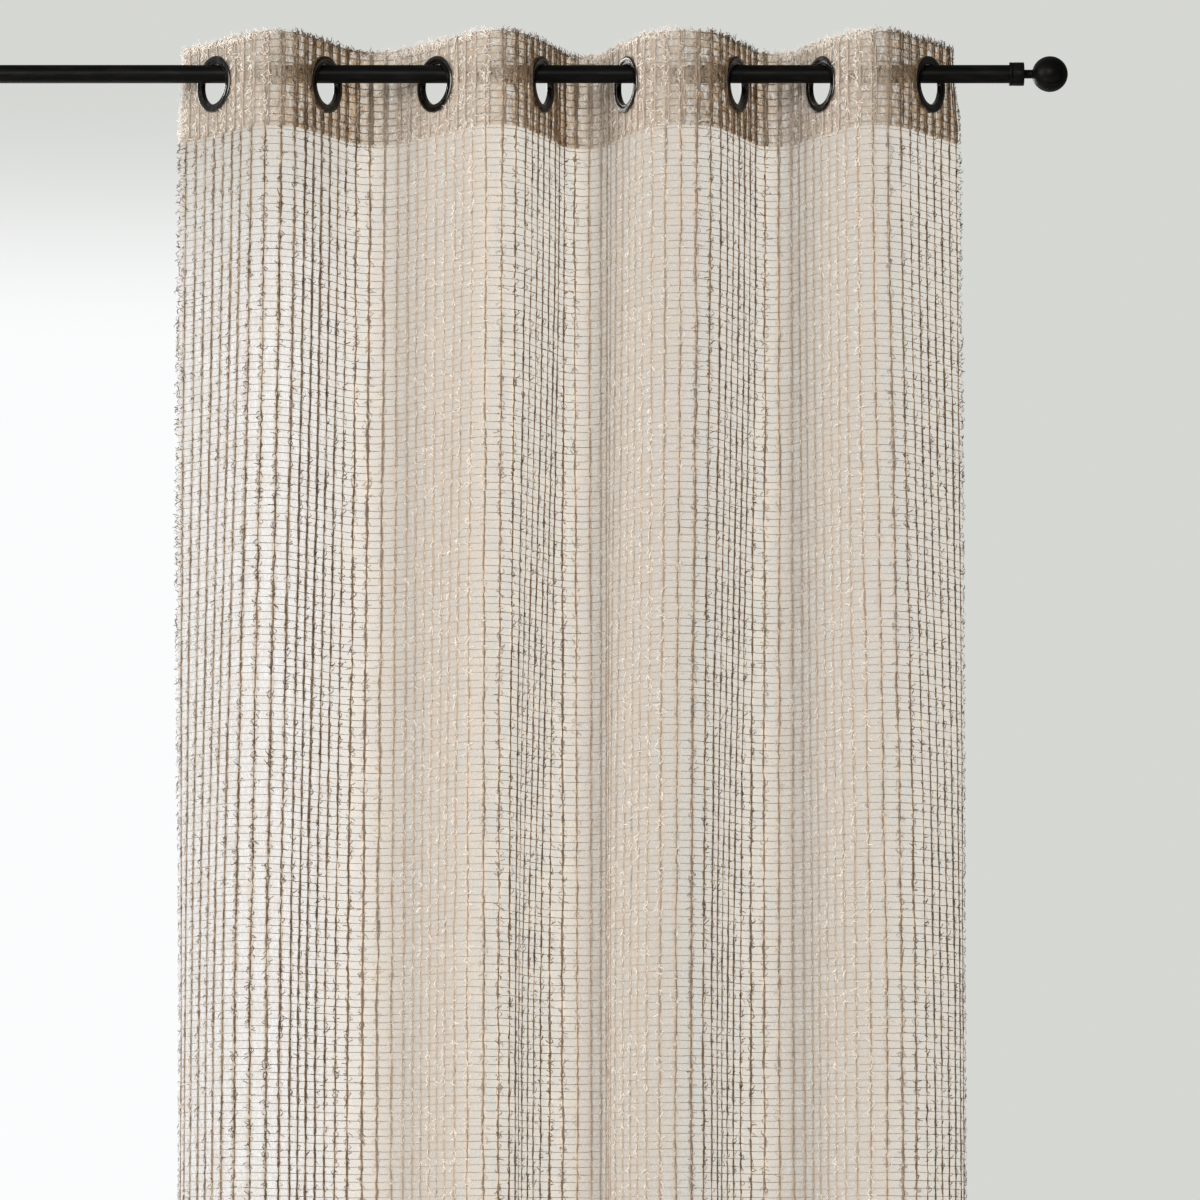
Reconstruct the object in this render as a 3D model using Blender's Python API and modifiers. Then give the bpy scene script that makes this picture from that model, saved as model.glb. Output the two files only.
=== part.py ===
"""A sheer eyelet curtain hung in soft folds on a round rod with two ball finials.

The rod lies along X with its axis at Z = 0 and its middle at X = 0. The cloth hangs
down along -Z, and -Y is the side that faces the room. All sizes are in metres.
"""

import math
from collections import namedtuple

import bmesh
import bpy
import numpy as np
from mathutils import Matrix, Vector

OBJECT_NAME = "eyelet_voile_curtain"

# The cloth as it is cut and hemmed
CLOTH_WIDTH = 1.400
CLOTH_DROP = 2.400
TOP_ABOVE_ROD = 0.037
HEADING_DEPTH = 0.105
PANEL_THICKNESS = 0.0016
HEADING_THICKNESS = 0.0020

# Clearance between pieces that touch
GAP = 0.0003

# The folds keep their upper form down to the heading's lower edge, and reach their
# lower form at this height
LOWER_FORM_Z = -1.120

# The rod and its finials
ROD_RADIUS = 0.0100
COLLAR_START = 0.5840
COLLAR_LENGTH = 0.0160
COLLAR_RADIUS = 0.0128
SOCKET_DEPTH = 0.0145
NECK_RADIUS = 0.0048
BALL_RADIUS = 0.0195
BALL_CENTRE = 0.0284

# The eyelets: two flanges joined by a neck that lines the hole in the cloth
EYELET_RADIUS = 0.0310
EYELET_OPENING_RADIUS = 0.0215
EYELET_NECK_RADIUS = 0.0230
EYELET_HALF_DEPTH = 0.0042
LIP_RADIUS = 0.0226
LIP_DEPTH = 0.0038
BARREL_DEPTH = 0.0024
CROWN_RADIUS = 0.0270
RIM_RADIUS = 0.0306
RIM_DEPTH = 0.0034

# Half the cloth that each eyelet holds flat, at the rod and far below it
FLAT_HALF_UPPER = 0.0320
FLAT_HALF_LOWER = 0.0040

# Where the line of cloth under each eyelet lies, from left to right. cloth is measured
# along the cut cloth from its left edge, and x along the rod from its middle. forward is
# towards the room. A turn is the angle in degrees between the cloth and the rod.
EyeletLine = namedtuple("EyeletLine", "cloth upper_x upper_turn lower_x lower_forward lower_turn")
EYELET_LINES = (
    EyeletLine(0.059, -0.2812, 51.0, -0.291, 0.000, 57.0),
    EyeletLine(0.236, -0.1612, -61.0, -0.173, -0.007, -56.0),
    EyeletLine(0.412, -0.0404, 51.0, -0.045, -0.003, 57.0),
    EyeletLine(0.594, 0.0742, -68.0, 0.057, -0.028, -68.0),
    EyeletLine(0.795, 0.1679, 66.0, 0.160, 0.006, 59.0),
    EyeletLine(0.981, 0.2861, -67.0, 0.271, -0.001, -67.0),
    EyeletLine(1.156, 0.3797, 61.0, 0.383, 0.006, 60.0),
    EyeletLine(1.334, 0.4964, -57.0, 0.507, 0.000, -60.0),
)

# The turn that the cloth reaches at its two free side edges, from the top edge down
SideEdge = namedtuple("SideEdge", "top_turn upper_turn lower_turn")
LEFT_EDGE = SideEdge(56.0, 36.0, 78.0)
RIGHT_EDGE = SideEdge(-88.0, -62.0, -79.0)

# How finely the curved pieces are divided
PLAN_STEP = 0.001
FLAT_COLUMNS = 4
BAY_COLUMNS = 12
MARGIN_COLUMNS = 4
PANEL_ROWS = 8
EYELET_SEGMENTS = 24
HOLE_SEGMENTS = 24
ROD_SEGMENTS = 32
FINIAL_SEGMENTS = 24
BALL_ARC_POINTS = 9
ROD_ARC_POINTS = 91
SMOOTH_ANGLE = math.radians(40)
MERGE_DISTANCE = 0.00001

# Sizes that follow from those above
HEM_Z = TOP_ABOVE_ROD - CLOTH_DROP
HEADING_BOTTOM_Z = TOP_ABOVE_ROD - HEADING_DEPTH
STACK_HALF = (PANEL_THICKNESS + GAP + HEADING_THICKNESS) / 2
PANEL_SHIFT = STACK_HALF - PANEL_THICKNESS / 2
HEADING_SHIFT = HEADING_THICKNESS / 2 - STACK_HALF
GROOVE_HALF = STACK_HALF + GAP
HOLE_RADIUS = EYELET_NECK_RADIUS + GAP
HOLE_CUT_DEPTH = 4 * EYELET_HALF_DEPTH

Finish = namedtuple("Finish", "color roughness metallic")
FINISHES = {
    "voile": Finish((0.78, 0.70, 0.59), 0.85, 0.0),
    "heading": Finish((0.66, 0.56, 0.44), 0.85, 0.0),
    "eyelet": Finish((0.06, 0.06, 0.065), 0.22, 1.0),
    "rod": Finish((0.012, 0.012, 0.013), 0.35, 0.0),
    "finial": Finish((0.014, 0.014, 0.015), 0.32, 0.0),
}

# How closely a bay's path has to end on the next eyelet, and the limits of its solving
PATH_TOLERANCE = 1e-7
SOLVE_ROUNDS = 30
SOLVE_NUDGE = 1e-5
SOLVE_STRIDE = 0.2
FIRST_SWELL = 0.2


def clear_scene():
    """Remove every object of the scene."""
    for obj in list(bpy.data.objects):
        bpy.data.objects.remove(obj)


def new_collection(name):
    """A collection that is linked to the scene."""
    collection = bpy.data.collections.new(name)
    bpy.context.scene.collection.children.link(collection)
    return collection


def make_material(name):
    """A Principled material with the finish of that name."""
    finish = FINISHES[name]
    material = bpy.data.materials.new(name)
    material.use_nodes = True
    shader = material.node_tree.nodes["Principled BSDF"]
    shader.inputs["Base Color"].default_value = (*finish.color, 1.0)
    shader.inputs["Roughness"].default_value = finish.roughness
    shader.inputs["Metallic"].default_value = finish.metallic
    return material


def add_object(name, mesh, collection, place=None):
    """An object of a mesh in a collection, placed by a matrix or left at the origin."""
    obj = bpy.data.objects.new(name, mesh)
    if place is not None:
        obj.matrix_world = place
    collection.objects.link(obj)
    return obj


def eased(start_z, end_z, z):
    """How far a change has come at a height, from 0 at its start to 1 at its end."""
    down = min(max((start_z - z) / (start_z - end_z), 0.0), 1.0)
    return down * down * (3.0 - 2.0 * down)


def lower_share(z):
    """How far the folds have come to their lower form at a height."""
    return eased(HEADING_BOTTOM_Z, LOWER_FORM_Z, z)


def between(upper, lower, share):
    """The value at a share of the way from the upper to the lower form."""
    return upper + (lower - upper) * share


def edge_turn(edge, z):
    """The turn of a free side edge at a height."""
    upper = between(edge.top_turn, edge.upper_turn, eased(TOP_ABOVE_ROD, HEADING_BOTTOM_Z, z))
    return math.radians(between(upper, edge.lower_turn, lower_share(z)))


def line_at(line, share):
    """Place along the rod, place forward of it and turn of an eyelet's line of cloth."""
    x = between(line.upper_x, line.lower_x, share)
    forward = between(0.0, line.lower_forward, share)
    turn = math.radians(between(line.upper_turn, line.lower_turn, share))
    return x, forward, turn


def walk(cloth, turns):
    """The path of cloth whose turn is given at each place along it, from a start at 0, 0."""
    step = np.diff(cloth)
    middle = (turns[1:] + turns[:-1]) / 2
    along = np.concatenate(([0.0], np.cumsum(step * np.cos(middle))))
    forward = np.concatenate(([0.0], np.cumsum(step * np.sin(middle))))
    return along, forward


def bay_turns(cloth, flat, start, end, swell, lean):
    """Turns across a bay: flat at both eyelets, and one soft fold between them.

    swell steepens both flanks of the fold, and lean tips the fold to one side.
    """
    share = np.clip((cloth - flat) / (cloth[-1] - 2 * flat), 0.0, 1.0)
    ease = (1 - np.cos(np.pi * share)) / 2
    fold = swell * np.sin(2 * np.pi * share) + lean * np.sin(np.pi * share)
    return start * (1 - ease) + end * ease + fold


def fit_bay(cloth, flat, start, end, target):
    """The turns with which a bay's path ends on its target, found by Newton's method."""
    unknown = np.array([math.copysign(FIRST_SWELL, start), 0.0])

    def miss(values):
        along, forward = walk(cloth, bay_turns(cloth, flat, start, end, *values))
        return np.array([along[-1], forward[-1]]) - target

    for _ in range(SOLVE_ROUNDS):
        off = miss(unknown)
        if np.abs(off).max() < PATH_TOLERANCE:
            break
        slope = np.column_stack([(miss(unknown + nudge) - off) / SOLVE_NUDGE
                                 for nudge in np.eye(2) * SOLVE_NUDGE])
        unknown += np.clip(np.linalg.solve(slope, -off), -SOLVE_STRIDE, SOLVE_STRIDE)
    return bay_turns(cloth, flat, start, end, *unknown)


def cloth_steps(width):
    """Finely spaced places across a width of cloth, for walking its path."""
    return np.linspace(0.0, width, round(width / PLAN_STEP) + 1)


def margin_path(width, flat, line_turn, free_turn):
    """Steps, path and turns from an eyelet's line out to the free side edge."""
    steps = cloth_steps(width)
    share = np.clip((steps - flat) / (width - flat), 0.0, 1.0)
    ease = (1 - np.cos(np.pi * share)) / 2
    turns = line_turn * (1 - ease) + free_turn * ease
    return steps, *walk(steps, turns), turns


def plan_of_cloth(z):
    """The cloth seen from above at one height: its places, x, forward and turn."""
    share = lower_share(z)
    flat = between(FLAT_HALF_UPPER, FLAT_HALF_LOWER, share)
    lines = [line_at(line, share) for line in EYELET_LINES]

    first = EYELET_LINES[0].cloth
    x, forward, turn = lines[0]
    steps, along, ahead, turns = margin_path(first, flat, turn, edge_turn(LEFT_EDGE, z))
    outward = np.array([first - steps, x - along, forward - ahead, turns])
    pieces = [outward[:, :0:-1]]

    for left, right, begin, finish in zip(EYELET_LINES, EYELET_LINES[1:], lines, lines[1:]):
        steps = cloth_steps(right.cloth - left.cloth)
        target = np.array(finish[:2]) - np.array(begin[:2])
        turns = fit_bay(steps, flat, begin[2], finish[2], target)
        along, ahead = walk(steps, turns)
        bay = np.array([left.cloth + steps, begin[0] + along, begin[1] + ahead, turns])
        pieces.append(bay[:, :-1])

    last = EYELET_LINES[-1].cloth
    x, forward, turn = lines[-1]
    steps, along, ahead, turns = margin_path(CLOTH_WIDTH - last, flat, turn, edge_turn(RIGHT_EDGE, z))
    pieces.append(np.array([last + steps, x + along, forward + ahead, turns]))
    return np.concatenate(pieces, axis=1)


def cloth_columns():
    """Places along the cut cloth where the solids have an upright edge."""
    places = [np.linspace(0.0, EYELET_LINES[0].cloth - FLAT_HALF_UPPER, MARGIN_COLUMNS)]
    for left, right in zip(EYELET_LINES, EYELET_LINES[1:]):
        places.append(np.linspace(left.cloth - FLAT_HALF_UPPER, left.cloth + FLAT_HALF_UPPER,
                                  FLAT_COLUMNS + 1)[1:])
        places.append(np.linspace(left.cloth + FLAT_HALF_UPPER, right.cloth - FLAT_HALF_UPPER,
                                  BAY_COLUMNS + 1)[1:])
    last = EYELET_LINES[-1].cloth
    places.append(np.linspace(last - FLAT_HALF_UPPER, last + FLAT_HALF_UPPER, FLAT_COLUMNS + 1)[1:])
    places.append(np.linspace(last + FLAT_HALF_UPPER, CLOTH_WIDTH, MARGIN_COLUMNS)[1:])
    return np.concatenate(places)


def folded_cloth(name, heights, shift, thickness, collection):
    """A layer of cloth on the folds, shifted towards the room from their middle surface.

    Its quads are all split the same way, so that two layers stay level with each other.
    """
    columns = cloth_columns()
    bm = bmesh.new()
    bmesh.ops.create_grid(bm, x_segments=len(columns) - 1, y_segments=len(heights) - 1, size=0.5)
    rows = []
    for z in heights:
        cloth, x, forward, turn = plan_of_cloth(z)
        x, forward, turn = (np.interp(columns, cloth, values) for values in (x, forward, turn))
        rows.append((x - shift * np.sin(turn), -forward - shift * np.cos(turn)))
    for vertex in bm.verts:
        column = round((vertex.co.x + 0.5) * (len(columns) - 1))
        row = round((vertex.co.y + 0.5) * (len(heights) - 1))
        x, y = rows[row]
        vertex.co = (x[column], y[column], heights[row])
    bmesh.ops.triangulate(bm, faces=bm.faces, quad_method="FIXED")
    mesh = bpy.data.meshes.new(name)
    bm.to_mesh(mesh)
    bm.free()
    obj = add_object(name, mesh, collection)
    shell = obj.modifiers.new("thickness", "SOLIDIFY")
    shell.thickness = thickness
    shell.offset = 0.0
    return obj


def eyelet_drop(turn):
    """How far an eyelet's centre hangs under the rod's axis when its lip rests on the rod.

    The rod crosses the eyelet's slanted plane in an ellipse, which slides sideways with the
    depth, and the closest of its points to the opening sets the drop.
    """
    slant = math.radians(90.0 - abs(turn))
    angle = np.linspace(0.0, math.pi / 2, ROD_ARC_POINTS)
    drops = []
    for radius, depth in ((EYELET_OPENING_RADIUS, BARREL_DEPTH), (LIP_RADIUS, LIP_DEPTH)):
        side = depth * math.tan(slant) + ROD_RADIUS / math.cos(slant) * np.cos(angle)
        up = ROD_RADIUS * np.sin(angle)
        drops.append((np.sqrt((radius - GAP) ** 2 - side ** 2) - up).min())
    return min(drops)


def eyelet_matrix(line):
    """The place of an eyelet, with its own Z axis square to the cloth."""
    turn = math.radians(line.upper_turn)
    facing = Vector((-math.sin(turn), -math.cos(turn), 0.0))
    place = Matrix.Translation((line.upper_x, 0.0, -eyelet_drop(line.upper_turn)))
    return place @ facing.to_track_quat("Z", "Y").to_matrix().to_4x4()


def turned_mesh(name, profile, closed):
    """A mesh of a profile's edges, whose points are (radius, height) pairs."""
    edges = [(i, i + 1) for i in range(len(profile) - 1)]
    if closed:
        edges.append((len(profile) - 1, 0))
    mesh = bpy.data.meshes.new(name)
    mesh.from_pydata([(radius, 0.0, height) for radius, height in profile], edges, [])
    return mesh


def add_screw(obj, segments):
    """Turn an object's profile once around its own Z axis."""
    screw = obj.modifiers.new("turned", "SCREW")
    screw.steps = segments
    screw.render_steps = segments
    screw.use_merge_vertices = True
    screw.merge_threshold = MERGE_DISTANCE
    screw.use_smooth_shade = True


def eyelet_mesh():
    """The closed section of an eyelet: a neck with a rounded flange on each side."""
    front = [
        (EYELET_OPENING_RADIUS, BARREL_DEPTH),
        (LIP_RADIUS, LIP_DEPTH),
        (CROWN_RADIUS, EYELET_HALF_DEPTH),
        (RIM_RADIUS, RIM_DEPTH),
        (EYELET_RADIUS, GROOVE_HALF),
        (EYELET_NECK_RADIUS, GROOVE_HALF),
    ]
    back = [(radius, -depth) for radius, depth in reversed(front)]
    return turned_mesh("eyelet", front + back, closed=True)


def finial_mesh():
    """A finial's section: a ball on a slim neck, and a collar with a socket for the rod."""
    meets_neck = math.pi - math.asin(NECK_RADIUS / BALL_RADIUS)
    ball = [(BALL_RADIUS * math.sin(angle), BALL_CENTRE + BALL_RADIUS * math.cos(angle))
            for angle in np.linspace(0.0, meets_neck, BALL_ARC_POINTS)]
    socket_radius = ROD_RADIUS + GAP
    collar = [
        (NECK_RADIUS, 0.0),
        (COLLAR_RADIUS, 0.0),
        (COLLAR_RADIUS, -COLLAR_LENGTH),
        (socket_radius, -COLLAR_LENGTH),
        (socket_radius, SOCKET_DEPTH - COLLAR_LENGTH),
        (0.0, SOCKET_DEPTH - COLLAR_LENGTH),
    ]
    return turned_mesh("finial", ball + collar, closed=False)


def build_cutter(collection):
    """One cylinder through the cloth for each eyelet's hole."""
    bm = bmesh.new()
    for line in EYELET_LINES:
        bmesh.ops.create_cone(bm, cap_ends=True, segments=HOLE_SEGMENTS, radius1=HOLE_RADIUS,
                              radius2=HOLE_RADIUS, depth=HOLE_CUT_DEPTH,
                              matrix=eyelet_matrix(line))
    mesh = bpy.data.meshes.new("eyelet_holes")
    bm.to_mesh(mesh)
    bm.free()
    cutter = add_object("eyelet_holes", mesh, collection)
    cutter.hide_render = True
    cutter.display_type = "WIRE"
    return cutter


def build_cloth(parts, cutter):
    """The voile panel and, behind its top, the doubled heading, both with eyelet holes."""
    below = np.linspace(HEADING_BOTTOM_Z, HEM_Z, PANEL_ROWS + 1)
    panel = folded_cloth("panel", [TOP_ABOVE_ROD, *below], PANEL_SHIFT, PANEL_THICKNESS, parts)
    heading = folded_cloth("heading", [TOP_ABOVE_ROD, HEADING_BOTTOM_Z], HEADING_SHIFT,
                           HEADING_THICKNESS, parts)
    for obj, finish in ((panel, "voile"), (heading, "heading")):
        holes = obj.modifiers.new("holes", "BOOLEAN")
        holes.operation = "DIFFERENCE"
        holes.object = cutter
        obj.data.materials.append(make_material(finish))
        obj.data.shade_smooth()
    return [panel, heading]


def build_eyelets(parts):
    """One eyelet for each hole, all from the same section."""
    mesh = eyelet_mesh()
    mesh.materials.append(make_material("eyelet"))
    eyelets = []
    for number, line in enumerate(EYELET_LINES, start=1):
        eyelet = add_object(f"eyelet_{number}", mesh, parts, eyelet_matrix(line))
        add_screw(eyelet, EYELET_SEGMENTS)
        eyelets.append(eyelet)
    return eyelets


def build_rod(parts):
    """The rod and the finial on each of its ends."""
    socket_end = COLLAR_START + SOCKET_DEPTH
    bpy.ops.mesh.primitive_cylinder_add(vertices=ROD_SEGMENTS, radius=ROD_RADIUS,
                                        depth=2 * (socket_end - GAP),
                                        rotation=(0.0, math.pi / 2, 0.0))
    rod = bpy.context.active_object
    rod.name = "rod"
    rod.data.name = "rod"
    for collection in list(rod.users_collection):
        collection.objects.unlink(rod)
    parts.objects.link(rod)
    rod.data.materials.append(make_material("rod"))
    rod.data.shade_smooth()
    rod.data.set_sharp_from_angle(angle=SMOOTH_ANGLE)

    mesh = finial_mesh()
    mesh.materials.append(make_material("finial"))
    finials = []
    for name, side in (("finial_left", -1), ("finial_right", 1)):
        place = Matrix.Translation((side * (COLLAR_START + COLLAR_LENGTH), 0.0, 0.0))
        finial = add_object(name, mesh, parts, place @ Matrix.Rotation(side * math.pi / 2, 4, "Y"))
        add_screw(finial, FINIAL_SEGMENTS)
        finials.append(finial)
    return [rod, *finials]


def main():
    """Build the curtain and its rod under one empty."""
    clear_scene()
    parts = new_collection(OBJECT_NAME)
    cutters = new_collection("cutters")
    cutter = build_cutter(cutters)
    root = add_object("curtain_on_rod", None, parts)
    for piece in build_cloth(parts, cutter) + build_eyelets(parts) + build_rod(parts):
        piece.parent = root


main()
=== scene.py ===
"""The looks of a sheer eyelet curtain on its rod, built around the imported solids.

The net is made of real yarn: upright slub yarns, thin cross threads, and the fuzz that
stands off them. A base sheet carries the haze of fine fibres in the gaps. All sizes are in
metres in the frame of the solids: the rod lies along X at Z = 0, and -Y faces the room.
"""

from __future__ import annotations

import logging
import math
from dataclasses import dataclass, field
from enum import Enum

import bmesh
import bpy
import numpy as np
from mathutils import Matrix, Vector

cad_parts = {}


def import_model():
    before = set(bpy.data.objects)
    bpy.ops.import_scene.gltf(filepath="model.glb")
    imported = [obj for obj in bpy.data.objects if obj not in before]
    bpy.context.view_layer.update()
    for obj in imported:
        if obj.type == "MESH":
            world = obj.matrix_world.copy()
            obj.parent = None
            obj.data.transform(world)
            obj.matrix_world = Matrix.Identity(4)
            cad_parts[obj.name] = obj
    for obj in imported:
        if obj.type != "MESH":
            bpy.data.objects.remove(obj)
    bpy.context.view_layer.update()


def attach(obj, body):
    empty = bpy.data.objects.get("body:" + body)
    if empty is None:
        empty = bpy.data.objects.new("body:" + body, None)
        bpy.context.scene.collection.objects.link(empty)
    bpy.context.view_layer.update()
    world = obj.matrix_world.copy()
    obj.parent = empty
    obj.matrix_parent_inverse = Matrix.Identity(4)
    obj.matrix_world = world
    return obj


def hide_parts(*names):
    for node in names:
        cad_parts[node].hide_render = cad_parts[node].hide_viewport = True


LOG = logging.getLogger("voile_curtain")
BODY = "root"
MILLIMETRE = 0.001
# Name of the point attribute that says how much painted light a place gets, on the fold sides that face the
# light.
LIT_SIDE_ATTRIBUTE = "painted_lit_side"
Colour = tuple[float, float, float]
WARM: Colour = (1.0, 0.975, 0.95)
PALE: Colour = (1.0, 0.985, 0.97)


# Shader graphs


class Value:
    """A number that changes over a surface, as a node's output socket."""

    def __init__(self, graph: Graph, socket: bpy.types.NodeSocket) -> None:
        """Wrap one output socket of a graph."""
        self.graph = graph
        self.socket = socket

    def _math(self, operation: str, first: Value | float, second: Value | float) -> Value:
        """The result of one Math node."""
        made = self.graph.node("ShaderNodeMath", {"operation": operation}, {0: first, 1: second})
        return Value(self.graph, made.outputs[0])

    def __add__(self, other: Value | float) -> Value:
        """This value plus another."""
        return self._math("ADD", self, other)

    def __sub__(self, other: Value | float) -> Value:
        """This value minus another."""
        return self._math("SUBTRACT", self, other)

    def __rsub__(self, other: float) -> Value:
        """A number minus this value."""
        return self._math("SUBTRACT", other, self)

    def __mul__(self, other: Value | float) -> Value:
        """This value times another."""
        return self._math("MULTIPLY", self, other)

    __radd__ = __add__

    def at_most(self, other: Value | float) -> Value:
        """The smaller of this value and another."""
        return self._math("MINIMUM", self, other)

    def at_least(self, other: Value | float) -> Value:
        """The larger of this value and another."""
        return self._math("MAXIMUM", self, other)

    def to_and_fro(self, reach: float) -> Value:
        """How far this value is from the nearest even multiple of reach."""
        return self._math("PINGPONG", self, reach)


class Graph:
    """The node tree of a new material or of the world."""

    def __init__(self, owner: bpy.types.Material | bpy.types.World) -> None:
        """Start an empty tree for its owner.

        Args:
            owner: The material or world whose surface the tree gives.
        """
        owner.use_nodes = True
        self.owner = owner
        self.tree = owner.node_tree
        self.tree.nodes.clear()

    def node(self, kind: str, settings: dict | None = None,
             sockets: dict | None = None) -> bpy.types.Node:
        """Add a node, set it up and feed its sockets.

        Args:
            kind: The node's type.
            settings: The node's own settings, set first.
            sockets: A value, a Value or an output socket for each input by name or number.

        Returns:
            The new node.
        """
        made = self.tree.nodes.new(kind)
        for name, value in (settings or {}).items():
            setattr(made, name, value)
        for key, value in (sockets or {}).items():
            if isinstance(value, Value):
                value = value.socket
            if isinstance(value, bpy.types.NodeSocket):
                self.tree.links.new(value, made.inputs[key])
            else:
                made.inputs[key].default_value = value
        return made

    def value(self, node: bpy.types.Node, output: str | int = 0) -> Value:
        """One output of a node as a Value."""
        return Value(self, node.outputs[output])

    def noise(self, place: bpy.types.NodeSocket, scale: Colour | float, detail: float = 2.0,
              distortion: float = 0.0) -> Value:
        """Soft noise over a place, from 0 to 1.

        Args:
            place: The coordinates it reads.
            scale: How many lumps there are in a metre, the same each way or one for each axis.
            detail: How many finer octaves are added.
            distortion: How much the lumps are bent.

        Returns:
            The noise.
        """
        if not isinstance(scale, tuple):
            scale = (scale, scale, scale)
        spread = self.node("ShaderNodeVectorMath", {"operation": "MULTIPLY"},
                           {0: place, 1: scale})
        made = self.node("ShaderNodeTexNoise", None,
                         {"Vector": spread.outputs[0], "Scale": 1.0, "Detail": detail,
                          "Distortion": distortion})
        return self.value(made, "Fac")

    def attribute(self, name: str) -> Value:
        """A number kept on the piece's own points."""
        made = self.node("ShaderNodeAttribute", {"attribute_name": name})
        return self.value(made, "Fac")

    def blend(self, share: Value | float, first: Colour | bpy.types.NodeSocket,
              second: Colour | bpy.types.NodeSocket) -> bpy.types.NodeSocket:
        """A colour between two others.

        Args:
            share: 0 for the first colour and 1 for the second.
            first: A colour or a colour socket.
            second: A colour or a colour socket.

        Returns:
            The mixed colour's socket.
        """
        ends = [(*end, 1.0) if isinstance(end, tuple) else end for end in (first, second)]
        made = self.node("ShaderNodeMix", {"data_type": "RGBA"},
                         {0: share, 6: ends[0], 7: ends[1]})
        return made.outputs[2]

    def step(self, value: Value, low: float, high: float) -> Value:
        """A smooth step of a value, 0 at low and 1 at high."""
        made = self.node("ShaderNodeMapRange", {"interpolation_type": "SMOOTHSTEP"},
                         {"Value": value, "From Min": low, "From Max": high})
        return self.value(made)

    def bump(self, height: Value, distance: float, strength: float) -> bpy.types.NodeSocket:
        """A normal from a height.

        Args:
            height: The height, from 0 to 1.
            distance: How high 1 stands, in metres.
            strength: How much of the bump is used.

        Returns:
            The bumped normal's socket.
        """
        made = self.node("ShaderNodeBump", None,
                         {"Height": height, "Distance": distance, "Strength": strength})
        return made.outputs[0]

    def finish(self, shader: bpy.types.NodeSocket) -> None:
        """Make a shader the surface of the owner."""
        kind = "ShaderNodeOutputWorld" if isinstance(self.owner, bpy.types.World) \
            else "ShaderNodeOutputMaterial"
        self.node(kind, None, {"Surface": shader})


def new_graph(name: str) -> Graph:
    """The graph of a new material."""
    return Graph(bpy.data.materials.new(name))


# Finishes


@dataclass(frozen=True)
class YarnFinish:
    """Rough natural yarn with darker and paler stretches and a fibrous skin.

    It is painted paler on the fold sides that face the light, and its darker colours stand on those that face
    away: painted light and shade.
    """

    name: str
    body: Colour
    shade: Colour
    fleck: Colour
    painted_light: Colour
    light_paint_share: float = 0.42
    fleck_start: float = 0.56
    fleck_full: float = 0.70
    translucent: float = 0.25
    roughness: float = 0.88
    sheen: float = 0.25
    specular: float = 0.2
    stretch_scale: Colour = (70.0, 70.0, 24.0)
    fibre_scale: Colour = (900.0, 900.0, 520.0)
    fleck_scale: Colour = (300.0, 300.0, 210.0)
    fleck_share: float = 0.85
    fibre_share: float = 0.30
    fibre_height: float = 0.35 * MILLIMETRE

    def material(self) -> bpy.types.Material:
        """Build the material.

        Returns:
            A material that reads object coordinates.
        """
        graph = new_graph(self.name)
        place = graph.node("ShaderNodeTexCoord").outputs["Object"]
        stretch = graph.noise(place, self.stretch_scale)
        fibre = graph.noise(place, self.fibre_scale)
        fleck = graph.step(graph.noise(place, self.fleck_scale, detail=1.0),
                           self.fleck_start, self.fleck_full)
        colour = graph.blend(graph.step(stretch, 0.35, 0.65), self.shade, self.body)
        colour = graph.blend(fleck * self.fleck_share, colour, self.fleck)
        colour = graph.blend(graph.step(fibre, 0.30, 0.70) * self.fibre_share, colour,
                             self.shade)
        # Painted light: the fold sides that face the light take the paler colour.
        colour = graph.blend(graph.attribute(LIT_SIDE_ATTRIBUTE) * self.light_paint_share, colour, self.painted_light)
        normal = graph.bump(fibre, self.fibre_height, 0.6)
        skin = graph.node("ShaderNodeBsdfPrincipled", None, {
            "Base Color": colour, "Roughness": self.roughness, "Normal": normal,
            "Sheen Weight": self.sheen, "Specular IOR Level": self.specular})
        through = graph.node("ShaderNodeBsdfTranslucent", None,
                             {"Color": colour, "Normal": normal})
        graph.finish(graph.node("ShaderNodeMixShader", None, {
            0: self.translucent, 1: skin.outputs[0], 2: through.outputs[0]}).outputs[0])
        return graph.owner


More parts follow.
